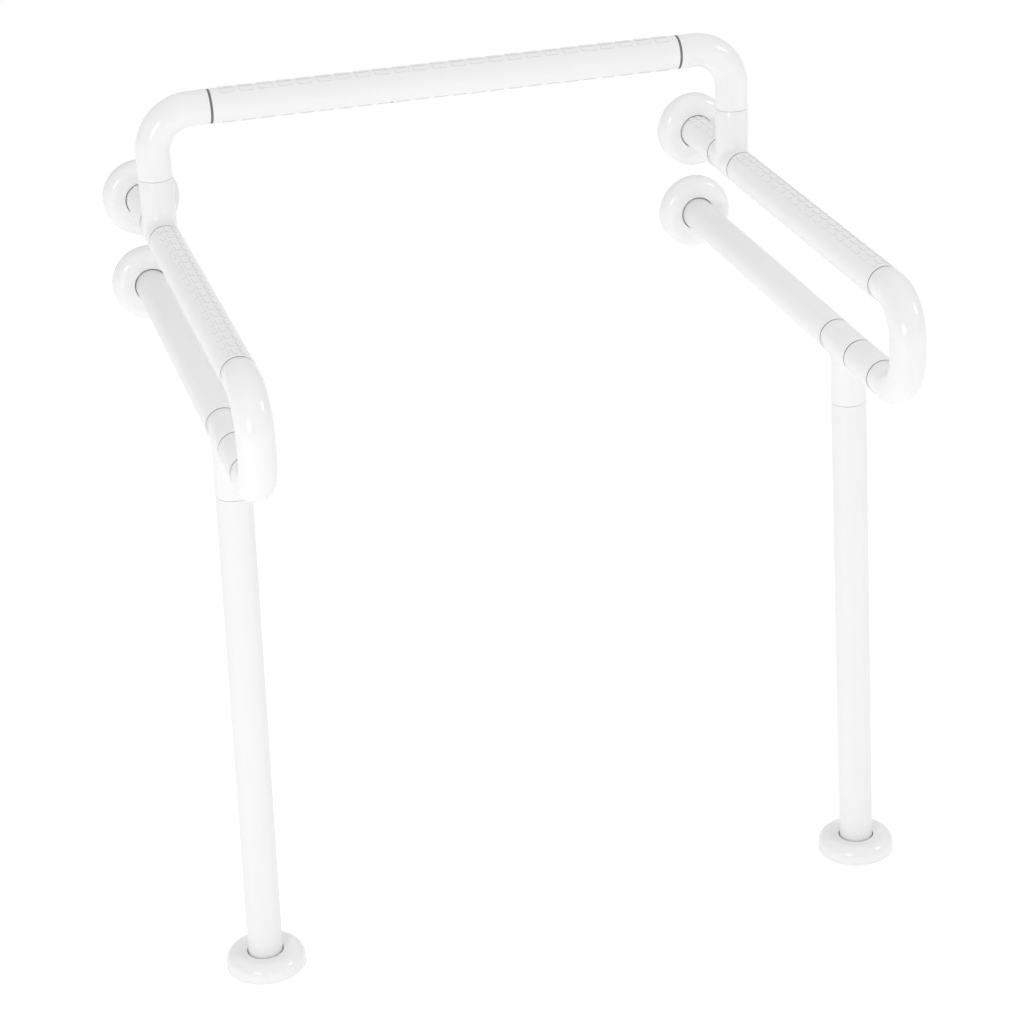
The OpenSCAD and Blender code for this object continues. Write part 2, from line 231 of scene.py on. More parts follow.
def plate_steel_material():
    """Brushed sheet, with the straw and blue tint that the weld's heat leaves round the bead."""
    material, tree, shader = new_material("plate_steel", Metallic=1.0)
    place = add_node(tree, "ShaderNodeAttribute", attribute_name="own_place").outputs["Vector"]
    uneven = spread(tree, noise(tree, place, 90), -tint_wander, tint_wander)
    reach = add_node(tree, "ShaderNodeMath", {
        0: distance_from_axis(tree, place), 1: uneven,
    }, operation="ADD")
    tinted = colour_steps(tree, spread(tree, reach.outputs[0], 0, 1, start=0.012, end=0.026), [
        (0.00, (0.30, 0.29, 0.29, 1)),
        (0.16, (0.33, 0.34, 0.42, 1)),
        (0.30, (0.47, 0.38, 0.33, 1)),
        (0.52, (0.60, 0.54, 0.43, 1)),
        (1.00, (0.60, 0.595, 0.585, 1)),
    ])
    tree.links.new(tinted, shader.inputs["Base Color"])
    brushing = noise(tree, stretched(tree, place, (60, 3200, 60)), 1.0, detail=3)
    tree.links.new(spread(tree, brushing, 0.24, 0.42), shader.inputs["Roughness"])
    bump(tree, shader, brushing, 0.000012)
    return material


plate_low, plate_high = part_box("wall_plate_upper_left")
plate_radius = (plate_high.x - plate_low.x) / 2
plate_thickness = 0.005
plate_rim = 0.0009
spigot_top = plate_high.y - plate_low.y
spigot_foot = 0.002
spigot_depth = 0.024
spigot_radius = 0.01095
spigot_wall = 0.0025
spigot_rim = 0.0006
plate_screws = 3
screw_circle = 0.027
screw_hole_radius = 0.0033
hole_cone_height = 0.0016
hole_cone_spread = 1.35
drill_overshoot = 0.001
bead_radius = 0.0026
bead_circle = spigot_radius + 0.001
bead_height = plate_thickness + 0.0004
bead_ripples = 30


def pressed_disc():
    """The plate's disc, with rolled rims and three countersunk holes."""
    disc = cylinder(plate_radius, 0, plate_thickness)
    with editing(disc):
        for height in (0, plate_thickness):
            choose(disc, "EDGE", on_rim(plate_radius, height))
            bpy.ops.mesh.bevel(offset=plate_rim, segments=3, affect="EDGES")
    for number in range(plate_screws):
        drill = cylinder(
            screw_hole_radius, -drill_overshoot, plate_thickness + drill_overshoot, segments=48,
        )
        with editing(drill):
            choose(drill, "FACE", lambda middle, face: face.normal.z > 0.9)
            bpy.ops.transform.translate(value=(0, 0, -hole_cone_height))
            draw_out((0, 0, hole_cone_height))
            bpy.ops.transform.resize(value=(hole_cone_spread, hole_cone_spread, 1))
        turn = number * math.tau / plate_screws
        drill.location = (screw_circle * math.cos(turn), screw_circle * math.sin(turn), 0)
        place_in_mesh(drill)
        combine(disc, drill, "DIFFERENCE")
    return disc


def welded_spigot(lean):
    """The tube with the rippled weld bead round its foot, leaning about the X axis."""
    spigot = cylinder(spigot_radius, spigot_foot, spigot_top)
    with editing(spigot):
        choose(spigot, "FACE", lambda middle, face: face.normal.z > 0.9)
        bpy.ops.mesh.inset(thickness=spigot_wall)
        draw_out((0, 0, -spigot_depth))
        for radius in (spigot_radius, spigot_radius - spigot_wall):
            choose(spigot, "EDGE", on_rim(radius, spigot_top))
            bpy.ops.mesh.bevel(offset=spigot_rim, segments=2, affect="EDGES")
    bpy.ops.mesh.primitive_torus_add(
        location=(0, 0, bead_height), major_segments=180, minor_segments=14,
        major_radius=bead_circle, minor_radius=bead_radius,
    )
    bead = bpy.context.object
    place_in_mesh(bead)
    for corner in bead.data.vertices:
        turn = math.atan2(corner.co.y, corner.co.x)
        core = Vector((bead_circle * math.cos(turn), bead_circle * math.sin(turn), bead_height))
        swell = 1 + 0.10 * abs(math.sin(turn * bead_ripples / 2)) + 0.04 * math.sin(3 * turn)
        corner.co = core + (corner.co - core) * swell
    combine(spigot, bead, "UNION")
    spigot.rotation_euler = (lean, 0, 0)
    place_in_mesh(spigot)
    return spigot


plate_steel = plate_steel_material()


def weld_plate(name, start, along, top, lean=0.0):
    plate = pressed_disc()
    combine(plate, welded_spigot(lean), "UNION")
    remember_own_place(plate)
    lay(plate, start, along, top)
    finish_piece(plate, name + "_steel", "frame", plate_steel, [name])


def centre_of(node):
    low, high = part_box(node)
    return (low + high) / 2


wall_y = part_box("wall_plate_upper_left")[1].y
slides = {joint["child"]: joint["axis"] for joint in frame["joints"]}
leg_up = {side: Vector(slides[f"floor_cover_{side}"]).normalized() for side in SIDES}
leg_lean = abs(math.atan2(leg_up["left"].x, leg_up["left"].z))

for side in SIDES:
    for level in ("upper", "lower"):
        name = f"wall_plate_{level}_{side}"
        middle = centre_of(name)
        weld_plate(name, Vector((middle.x, wall_y, middle.z)), FRONT, UP)
    low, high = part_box(f"floor_plate_{side}")
    foot = Vector(((low.x + high.x) / 2, (low.y + high.y) / 2, 0))
    # The disc's +X lies towards the wall, so its spigot leans with the leg about that axis.
    lean = math.atan2(leg_up[side].x, leg_up[side].z)
    weld_plate(f"floor_plate_{side}", foot, UP, -FRONT, lean)

# ---- Steel tubes and inserts ----
# Drawn stainless tubes run inside every nylon sleeve, and bent or welded inserts inside every
# moulding plug into them. They keep the shapes that they are designed with.


def drawn_steel_material(name, squeeze):
    """Stainless tube with fine drawing lines along the axis that has squeeze's smallest number."""
    material, tree, shader = new_material(name, Metallic=1.0)
    place = add_node(tree, "ShaderNodeTexCoord").outputs["Object"]
    lines = noise(tree, stretched(tree, place, squeeze), 1.0, detail=4)
    patches = noise(tree, place, 35)
    tone = mix_colours(tree, patches, (0.50, 0.50, 0.51, 1), (0.66, 0.66, 0.66, 1))
    tree.links.new(tone.outputs["Result"], shader.inputs["Base Color"])
    tree.links.new(spread(tree, lines, 0.22, 0.40), shader.inputs["Roughness"])
    bump(tree, shader, lines, 0.00001)
    return material


def give_material(node, material):
    """Puts a material on a piece that keeps its designed shape."""
    piece = frame["nodes"][node]
    if not piece.material_slots:
        piece.data.materials.append(material)
    for slot in piece.material_slots:
        slot.material = material


drawn_along_x = drawn_steel_material("core_steel_crossbar", (6, 2600, 2600))
drawn_along_y = drawn_steel_material("core_steel_rails", (2600, 6, 2600))
drawn_along_z = drawn_steel_material("core_steel_legs", (2600, 2600, 6))
pickled_steel = drawn_steel_material("core_steel_inserts", (420, 420, 420))

give_material("crossbar_core", drawn_along_x)
for side in SIDES:
    for part in ("stub", "handrail", "short", "lower_rail"):
        give_material(f"{part}_core_{side}", drawn_along_y)
    give_material(f"leg_core_{side}", drawn_along_z)
    for part in ("corner_bend_core", "arm_bend_core", "upper_tee_insert", "lower_tee_insert"):
        give_material(f"{part}_{side}", pickled_steel)

# ---- Smooth sleeves ----
# The lower rails, the short tubes in front of the legs and the legs are sleeves of extruded
# white nylon over the steel. Each has a hole over the grub screw at each of its ends.


def nylon_material(name, dull, shiny, skin, extruded):
    """White nylon. Its roughness wanders between dull and shiny, where hands polish it."""
    material, tree, shader = new_material(name, IOR=1.53)
    if extruded:
        place = add_node(tree, "ShaderNodeAttribute", attribute_name="own_place").outputs["Vector"]
    else:
        place = add_node(tree, "ShaderNodeTexCoord").outputs["Object"]
    clouds = noise(tree, place, 14, detail=3)
    specks = noise(tree, place, 1800, detail=1)
    tone = mix_colours(tree, clouds, (0.84, 0.84, 0.838, 1), (0.88, 0.88, 0.88, 1))
    speckled = mix_colours(
        tree, spread(tree, specks, 0.0, 0.05, start=0.55, end=0.8),
        tone.outputs["Result"], (0.70, 0.70, 0.69, 1),
    )
    tree.links.new(speckled.outputs["Result"], shader.inputs["Base Color"])
    handled = noise(tree, place, 45, detail=3)
    tree.links.new(spread(tree, handled, dull, shiny), shader.inputs["Roughness"])
    if extruded:
        lines = noise(tree, stretched(tree, place, (700, 700, 5)), 1.0, detail=3)
        bump(tree, shader, lines, 0.00002)
    bump(tree, shader, noise(tree, place, skin, detail=2), 0.00002)
    return material


def extruded_nylon(name):
    return nylon_material(name, dull=0.42, shiny=0.33, skin=2600, extruded=True)


sleeve_nylon = extruded_nylon("sleeve_nylon")

rail_low, rail_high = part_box("lower_rail_sleeve_left")
tube_radius = (rail_high.z - rail_low.z) / 2
core_radius = 0.01255
end_rim = 0.0003
screw_from_seam = 0.013
screw_from_plate = 0.005
grub_hole_radius = 0.0036
drill_reach = 0.002


def line_with_bore(piece, outer, bore, length):
    """Gives an open skin its two end faces and its bore."""
    with editing(piece):
        bpy.ops.mesh.select_mode(type="EDGE")
        bpy.ops.mesh.select_all(action="DESELECT")
        bpy.ops.mesh.select_non_manifold()
        bpy.ops.mesh.extrude_region_move()
        share = bore / outer
        bpy.ops.transform.resize(value=(share, share, 1), center_override=(0, 0, length / 2))
        bpy.ops.mesh.bridge_edge_loops()
        bpy.ops.mesh.select_all(action="SELECT")
        bpy.ops.mesh.normals_make_consistent(inside=False)


def round_end_rims(piece, outer, length, rim):
    with editing(piece):
        for height in (0, length):
            choose(piece, "EDGE", on_rim(outer, height, slack=0.00012))
            bpy.ops.mesh.bevel(offset=rim, segments=3, affect="EDGES")


def drill_screw_holes(piece, places, radius=grub_hole_radius, turn=0.0):
    """Drills through the wall at each place along the piece, turned from its -X side."""
    for place in places:
        drill = cylinder(radius, core_radius - drill_reach, tube_radius + drill_reach, segments=32)
        drill.rotation_euler = (0, -math.pi / 2, -turn)
        drill.location = (0, 0, place)
        place_in_mesh(drill)
        combine(piece, drill, "DIFFERENCE")


def smooth_sleeve(name, start, along, top, length, screws):
    sleeve = cylinder(tube_radius, 0, length, ends="NOTHING")
    line_with_bore(sleeve, tube_radius, core_radius, length)
    round_end_rims(sleeve, tube_radius, length, end_rim)
    drill_screw_holes(sleeve, screws)
    remember_own_place(sleeve)
    lay(sleeve, start, along, top)
    finish_piece(sleeve, name + "_nylon", "frame", sleeve_nylon, [name])


def rail_span(name):
    """Where a tube along a rail starts, nearest to the wall, and how long it is."""
    low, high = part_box(name)
    start = Vector(((low.x + high.x) / 2, high.y, (low.z + high.z) / 2))
    return start, high.y - low.y


# How far a lower tee reaches down its leg, and the hairline joint below it.
tee_branch = 0.058
butt_gap = 0.0004

for side in SIDES:
    start, length = rail_span(f"lower_rail_sleeve_{side}")
    smooth_sleeve(f"lower_rail_sleeve_{side}", start, FRONT, UP, length,
                  [screw_from_plate, length - screw_from_seam])
    start, length = rail_span(f"short_sleeve_{side}")
    smooth_sleeve(f"short_sleeve_{side}", start, FRONT, UP, length,
                  [screw_from_seam, length - screw_from_seam])

    rail = centre_of(f"lower_rail_sleeve_{side}")
    tee_y = centre_of(f"lower_tee_{side}").y
    top_of_leg = Vector((rail.x, tee_y, rail.z)) - leg_up[side] * (tee_branch + butt_gap)
    leg_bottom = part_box(f"leg_sleeve_{side}")[0].z
    lean_drop = tube_radius * math.sin(leg_lean)
    length = (top_of_leg.z - leg_bottom - lean_drop) / math.cos(leg_lean)
    smooth_sleeve(f"leg_sleeve_{side}", top_of_leg, -leg_up[side], FRONT, length,
                  [screw_from_seam, length - screw_from_plate])

# ---- Grip sleeves ----
# The crossbar, the handrails and the stubs by the wall are sleeves of the same nylon with
# raised pads pressed into them: three rows along the top and three along the underside.

segments_round = 72
row_step = math.radians(25)
pad_half_angle = math.radians(7.5)
pad_pitch = 0.020
pad_length = 0.014
pad_end = 0.0026
pad_edge = 0.00028
pad_height = 0.00065
pad_crease = 0.8
painted_shade_height = 0.0007
plain_end = 0.004


def grip_nylon_material():
    """The sleeves' nylon, with shade painted into its colour: darker in the fine corner at the foot of
    each pad and partway up its wall.
    """
    material = extruded_nylon("grip_nylon")
    tree = material.node_tree
    colour = tree.nodes["Principled BSDF"].inputs["Base Color"]
    place = add_node(tree, "ShaderNodeAttribute", attribute_name="own_place").outputs["Vector"]
    rise = spread(tree, distance_from_axis(tree, place), 0, 1,
                  start=tube_radius, end=tube_radius + painted_shade_height)
    # Painted shade: the colour is multiplied darker across the foot and wall of each pad, where the
    # crease would lie in shade.
    foot = colour_steps(tree, rise, [
        (0.08, (1, 1, 1, 1)),
        (0.16, (0.52, 0.52, 0.52, 1)),
        (0.50, (0.75, 0.75, 0.75, 1)),
        (0.75, (1, 1, 1, 1)),
    ])
    shaded = add_node(tree, "ShaderNodeMix", {
        "Factor": 1.0, "A": colour.links[0].from_socket, "B": foot,
    }, data_type="RGBA", blend_type="MULTIPLY")
    tree.links.new(shaded.outputs["Result"], colour)
    return material


def in_a_row(point):
    """Whether a point lies in one of the three rows on top or the three rows underneath."""
    turn = abs(math.atan2(point.y, point.x))
    turn = min(turn, math.pi - turn)
    row = round(turn / row_step)
    return row <= 1 and abs(turn - row * row_step) < pad_half_angle


def crease_outline():
    """Keeps the border of the selected faces sharp when the skin is subdivided."""
    bpy.ops.mesh.region_to_loop()
    bpy.ops.transform.edge_crease(value=pad_crease)


def grip_skin(length):
    """The outer skin, drawn out ring by ring, with its pads raised from it."""
    pads = int((length - 2 * plain_end + pad_pitch - pad_length) / pad_pitch)
    first = (length - (pads - 1) * pad_pitch - pad_length) / 2
    rings = [0.0]
    for pad in range(pads):
        start = first + pad * pad_pitch
        rings += [start, start + pad_end, start + pad_length - pad_end, start + pad_length]
    rings.append(length)
    bpy.ops.mesh.primitive_circle_add(
        vertices=segments_round, radius=tube_radius, rotation=(0, 0, math.pi / segments_round),
    )
    skin = bpy.context.object
    place_in_mesh(skin)
    with editing(skin):
        bpy.ops.mesh.select_all(action="SELECT")
        for low, high in zip(rings, rings[1:]):
            draw_out((0, 0, high - low))
        bpy.ops.mesh.select_all(action="SELECT")
        bpy.ops.mesh.normals_make_consistent(inside=False)

        def on_a_pad(middle, face):
            along = (middle.z - first) % pad_pitch
            within = first < middle.z < first + pads * pad_pitch
            return within and along < pad_length and in_a_row(middle)

        choose(skin, "FACE", on_a_pad)
        crease_outline()
        choose(skin, "FACE", on_a_pad)
        bpy.ops.mesh.inset(thickness=pad_edge, depth=pad_height)
        crease_outline()
    apply_modifier(skin, "SUBSURF", levels=1, render_levels=1)
    return skin


def grip_sleeve(length, screws):
    sleeve = grip_skin(length)
    line_with_bore(sleeve, tube_radius, core_radius, length)
    round_end_rims(sleeve, tube_radius, length, end_rim)
    drill_screw_holes(sleeve, screws)
    return sleeve


grip_nylon = grip_nylon_material()


def finish_grip_sleeve(sleeve, name, start, along):
    remember_own_place(sleeve)
    lay(sleeve, start, along, UP)
    finish_piece(sleeve, name + "_nylon", "frame", grip_nylon, [name])


lock_screw_x = -0.062
lock_screw_turn = math.radians(25)
lock_head_radius = 0.00265

low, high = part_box("crossbar_sleeve")
length = high.x - low.x
start = Vector((low.x, (low.y + high.y) / 2, (low.z + high.z) / 2))
crossbar = grip_sleeve(length, [screw_from_seam, length - screw_from_seam])
drill_screw_holes(crossbar, [lock_screw_x - low.x], lock_head_radius, lock_screw_turn)
finish_grip_sleeve(crossbar, "crossbar_sleeve", start, RIGHT)

for side in SIDES:
    for part, first_screw in (("stub", screw_from_plate), ("handrail", screw_from_seam)):
        name = f"{part}_sleeve_{side}"
        start, length = rail_span(name)
        sleeve = grip_sleeve(length, [first_screw, length - screw_from_seam])
        finish_grip_sleeve(sleeve, name, start, FRONT)

# ---- Arm bends and corner bends ----
# Injection-moulded nylon over a bent steel insert. An arm bend turns each handrail back into its
# lower rail, and a corner bend carries the crossbar down to each upper tee.

moulded_nylon = nylon_material("moulded_nylon", dull=0.21, shiny=0.14, skin=420, extruded=False)
mould_rim = 0.00025
bend_steps = 24
insert_radius = 0.011
arm_bend_radius = 0.040
corner_bend_radius = 0.042
same_point = 0.00001
on_face = 0.0001
skin_depth = 0.001


def ring_at(point, turn):
    """The open end of a bend, for drawing the bend out from it."""
    bpy.ops.mesh.primitive_circle_add(
        vertices=96, radius=tube_radius, location=point, rotation=turn,
    )
    place_in_mesh(bpy.context.object)
    return bpy.context.object


def thicken_and_round(piece, wall, at_end):
    """Merges double points, gives the open skin its wall and rounds the rims that at_end picks."""
    with editing(piece):
        bpy.ops.mesh.select_all(action="SELECT")
        bpy.ops.mesh.remove_doubles(threshold=same_point)
        bpy.ops.mesh.normals_make_consistent(inside=False)
    apply_modifier(piece, "SOLIDIFY", thickness=wall, offset=-1.0)
    with editing(piece):
        choose(piece, "EDGE", at_end)
        bpy.ops.mesh.bevel(offset=mould_rim, segments=2, affect="EDGES")


def sharp(edge, least=60):
    """Whether the two faces at an edge meet at more than this angle in degrees."""
    return len(edge.link_faces) == 2 and edge.calc_face_angle() > math.radians(least)


wall_to_insert = tube_radius - insert_radius


def arm_bend(side):
    """Drawn from the handrail to the front, down and back to the lower rail."""
    low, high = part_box(f"arm_bend_{side}")
    x = (low.x + high.x) / 2
    front = low.y + tube_radius
    top = high.z - tube_radius
    bottom = low.z + tube_radius
    bend = ring_at((x, high.y, top), (math.pi / 2, 0, 0))
    with editing(bend):
        bpy.ops.mesh.select_all(action="SELECT")
        straight = high.y - (front + arm_bend_radius)
        draw_out((0, -straight, 0))
        bpy.ops.mesh.spin(
            steps=bend_steps, angle=-math.pi / 2, axis=(1, 0, 0),
            center=(x, front + arm_bend_radius, top - arm_bend_radius),
        )
        upright = top - bottom - 2 * arm_bend_radius
        draw_out((0, 0, -upright))
        bpy.ops.mesh.spin(
            steps=bend_steps, angle=-math.pi / 2, axis=(1, 0, 0),
            center=(x, front + arm_bend_radius, bottom + arm_bend_radius),
        )
        draw_out((0, straight, 0))

    def outer_rim_of_arm(middle, edge):
        to_rail = min(math.hypot(middle.x - x, middle.z - height) for height in (top, bottom))
        return sharp(edge) and middle.y > high.y - on_face and to_rail > tube_radius - skin_depth

    thicken_and_round(bend, wall_to_insert, outer_rim_of_arm)
    finish_piece(bend, f"arm_bend_{side}_nylon", "frame", moulded_nylon,
                 [f"arm_bend_{side}"])


def corner_bend(side, sign):
    """Drawn from the end of the crossbar outwards and down to the upper tee."""
    low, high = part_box(f"corner_bend_{side}")
    y = (low.y + high.y) / 2
    crossbar_end = low.x if sign > 0 else high.x
    riser_x = (high.x if sign > 0 else low.x) - sign * tube_radius
    crossbar_z = high.z - tube_radius
    pivot = (riser_x - sign * corner_bend_radius, y, crossbar_z - corner_bend_radius)
    bend = ring_at((crossbar_end, y, crossbar_z), (0, math.pi / 2, 0))
    with editing(bend):
        bpy.ops.mesh.select_all(action="SELECT")
        straight = pivot[0] - crossbar_end
        draw_out((straight, 0, 0))
        bpy.ops.mesh.spin(steps=bend_steps, angle=-sign * math.pi / 2, axis=(0, 1, 0), center=pivot)
        drop = pivot[2] - low.z
        draw_out((0, 0, -drop))

    def outer_rim_of_corner(middle, edge):
        at_bar = abs(middle.x - crossbar_end) < on_face
        from_bar = math.hypot(middle.y - y, middle.z - crossbar_z)
        at_riser = middle.z < low.z + on_face
        from_riser = math.hypot(middle.x - riser_x, middle.y - y)
        reach = from_bar if at_bar else from_riser
        return sharp(edge) and (at_bar or at_riser) and reach > tube_radius - skin_depth

    thicken_and_round(bend, wall_to_insert, outer_rim_of_corner)
    finish_piece(bend, f"corner_bend_{side}_nylon", "frame", moulded_nylon,
                 [f"corner_bend_{side}"])


for side in SIDES:
    arm_bend(side)
for side, sign in SIDES.items():
    corner_bend(side, sign)

# ---- Tees ----
# Moulded nylon over a welded steel insert. The upper tees join the corner bends to the
# handrails and the lower tees join the legs to the lower rails, with a rounded saddle between.

saddle_rounding = 0.005
tee_segments = 96


def in_the_mitre(point):
    """Whether a point lies on the branch's side of both mitre planes."""
    return point.z > abs(point.y) + same_point / 10


def mitred_pipe(length, turn, middle):
    """An open pipe, split where the two mitre planes of a tee cross it."""
    bpy.ops.mesh.primitive_cylinder_add(
        vertices=tee_segments, radius=tube_radius, depth=length, end_fill_type="NOTHING",
        location=middle, rotation=turn,
    )
    pipe = bpy.context.object
    place_in_mesh(pipe)
    with editing(pipe):
        for tilt in (1, -1):
            bpy.ops.mesh.select_all(action="SELECT")
            bpy.ops.mesh.bisect(plane_co=(0, 0, 0), plane_no=(0, tilt, -1))
    return pipe


def tee_skin(run_length, branch_length):
    """A run along Y with a branch up +Z. The crease between them is bevelled to a saddle."""
    run = mitred_pipe(run_length, (math.pi / 2, 0, 0), (0, 0, 0))
    with editing(run):
        choose(run, "FACE", lambda middle, face: in_the_mitre(middle))
        bpy.ops.mesh.delete(type="FACE")
    branch = mitred_pipe(branch_length, (0, 0, 0), (0, 0, branch_length / 2))
    with editing(branch):
        choose(branch, "FACE", lambda middle, face: not in_the_mitre(middle))
        bpy.ops.mesh.delete(type="FACE")
    pick(run)
    branch.select_set(True)
    bpy.ops.object.join()

    def on_crease(middle, edge):
        at_mitre = all(abs(corner.co.z - abs(corner.co.y)) < same_point for corner in edge.verts)
        return at_mitre and middle.z > 0 and sharp(edge, least=12)

    with editing(run):
        bpy.ops.mesh.select_all(action="SELECT")
        bpy.ops.mesh.remove_doubles(threshold=same_point)
        bpy.ops.mesh.normals_make_consistent(inside=False)
        choose(run, "EDGE", on_crease)
        bpy.ops.mesh.bevel(
            offset=saddle_rounding, segments=6, affect="EDGES",
            clamp_overlap=False, loop_slide=False,
        )
    return run


def tee(run_length, branch_length, wall):
    piece = tee_skin(run_length, branch_length)

    def outer_rim(middle, edge):
        at_branch = abs(middle.z - branch_length) < on_face
        at_run = abs(abs(middle.y) - run_length / 2) < on_face
        reach = from_axis(middle) if at_branch else math.hypot(middle.x, middle.z)
        return sharp(edge) and (at_branch or at_run) and reach > tube_radius - skin_depth

    thicken_and_round(piece, wall, outer_rim)
    return piece


def upper_tee(side):
    name = f"upper_tee_{side}"
    low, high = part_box(name)
    rail = centre_of(f"handrail_sleeve_{side}")
    centre = Vector((rail.x, (low.y + high.y) / 2, rail.z))
    branch = high.z - rail.z
    piece = tee(high.y - low.y, branch, tube_radius - core_radius)
    # The grub screw of the branch faces the wall.
    drill_screw_holes(piece, [branch - screw_from_seam], turn=math.pi / 2)
    piece.location = centre
    place_in_mesh(piece)
    finish_piece(piece, name + "_nylon", "frame", moulded_nylon, [name])


def lower_tee(side):
    name = f"lower_tee_{side}"
    low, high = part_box(name)
    rail = centre_of(f"lower_rail_sleeve_{side}")
    centre = Vector((rail.x, (low.y + high.y) / 2, rail.z))
    piece = tee(high.y - low.y, tee_branch, wall_to_insert)
    lay(piece, centre, -leg_up[side], leg_up[side].cross(FRONT))
    finish_piece(piece, name + "_nylon", "frame", moulded_nylon, [name])


for side in SIDES:
    upper_tee(side)
    lower_tee(side)

# ---- Seal rings ----
# A ring of dark elastomer fills the groove between each sleeve and the moulding next to it. The
# two at the ends of the crossbar are wider than the rest and of a greyer compound.


def seal_material():
    material, tree, shader = new_material("seal_rubber", IOR=1.5, Specular_IOR_Level=0.2)
    place = add_node(tree, "ShaderNodeTexCoord").outputs["Object"]
    bloom = noise(tree, place, 160, detail=3)
    black = mix_colours(tree, bloom, (0.03, 0.03, 0.031, 1), (0.07, 0.07, 0.07, 1))
    grey = mix_colours(tree, bloom, (0.15, 0.15, 0.152, 1), (0.20, 0.20, 0.20, 1))
    height = add_node(tree, "ShaderNodeSeparateXYZ", {"Vector": place}).outputs["Z"]
    at_crossbar = spread(tree, height, 0, 1, start=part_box("handrail_sleeve_left")[1].z,
                         end=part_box("crossbar_sleeve")[0].z)
    tone = mix_colours(tree, at_crossbar, black.outputs["Result"], grey.outputs["Result"])
    tree.links.new(tone.outputs["Result"], shader.inputs["Base Color"])
    tree.links.new(spread(tree, bloom, 0.7, 0.9), shader.inputs["Roughness"])
    bump(tree, shader, noise(tree, place, 2500), 0.00002)
    return material


seal_rubber = seal_material()
seal_depth = 0.0002
seal_rim = 0.0002
seal_radius = tube_radius - seal_depth


def seal_ring(middle, along, width):
    ring = cylinder(seal_radius, 0, width, ends="NOTHING")
    line_with_bore(ring, seal_radius, insert_radius, width)
    round_end_rims(ring, seal_radius, width, seal_rim)
    lay(ring, middle - along * width / 2, along, UP)
    return ring


def groove_between(nearer_wall, farther):
    """The middle and the width of the groove between two nodes on a rail."""
    wall_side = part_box(nearer_wall)[0].y
    front_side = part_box(farther)[1].y
    return (wall_side + front_side) / 2, wall_side - front_side


def rail_rings(side, pieces):
    """A ring in each groove between the pieces of a rail, which are named from the wall on."""
    axis = centre_of(f"{pieces[0]}_{side}")
    for nearer_wall, farther in zip(pieces, pieces[1:]):
        y, width = groove_between(f"{nearer_wall}_{side}", f"{farther}_{side}")
        yield seal_ring(Vector((axis.x, y, axis.z)), FRONT, width)


def crossbar_ring(side, sign):
    bar_low, bar_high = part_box("crossbar_sleeve")
    bend_low, bend_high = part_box(f"corner_bend_{side}")
    bar_end = bar_high.x if sign > 0 else bar_low.x
    bend_end = bend_low.x if sign > 0 else bend_high.x
    bar = centre_of("crossbar_sleeve")
    middle = Vector(((bar_end + bend_end) / 2, bar.y, bar.z))
    return seal_ring(middle, RIGHT, abs(bend_end - bar_end))


for side, sign in SIDES.items():
    rings = [
        *rail_rings(side, ("stub_sleeve", "upper_tee", "handrail_sleeve", "arm_bend")),
        *rail_rings(side, ("lower_rail_sleeve", "lower_tee", "short_sleeve", "arm_bend")),
        crossbar_ring(side, sign),
    ]
    pick(rings[0])
    for ring in rings[1:]:
        ring.select_set(True)
    bpy.ops.object.join()
    finish_piece(rings[0], f"seal_rings_{side}_rubber", "frame", seal_rubber,
                 [f"seal_rings_{side}"])

# ---- Screws ----
# Plain steel socket grub screws lock every spigot in its tube. One small pan-head screw of
# blackened steel, under the crossbar, keeps the long sleeve from turning.


def screw_material(name, dark, light):
    material, tree, shader = new_material(name, Metallic=1.0)
    place = add_node(tree, "ShaderNodeTexCoord").outputs["Object"]
    marks = noise(tree, place, 900, detail=3)
    tone = mix_colours(tree, marks, (dark, dark, dark, 1), (light, light, light, 1))
    tree.links.new(tone.outputs["Result"], shader.inputs["Base Color"])
    tree.links.new(spread(tree, marks, 0.25, 0.45), shader.inputs["Roughness"])
    bump(tree, shader, marks, 0.00002)
    return material


plain_steel = screw_material("screw_steel", 0.33, 0.55)
give_material("grub_screws_left", plain_steel)
give_material("grub_screws_right", plain_steel)
give_material("crossbar_lock_screw", screw_material("blackened_steel", 0.03, 0.07))

# ---- Covers ----
# A round moulded cover hides each plate and its screws. It is a thin domed shell that slides
# along the tube on its own, and six ribs inside grip the rim of the plate.

cover_low, cover_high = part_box("wall_cover_upper_left")
cover_radius = (cover_high.x - cover_low.x) / 2
cover_height = cover_high.y - cover_low.y
cover_edge = 0.0105
cover_wall = 0.0025
cover_hole = tube_radius + 0.0008
cover_dish = 0.0012
dish_rings = 4
cover_lip = 0.0007
cover_foot_rim = 0.0004
rib_count = 6
rib_size = Vector((0.0022, 0.0016, 0.007))
rib_height = 0.0045
rib_sink = 0.0001
rib_rounding = 0.0005


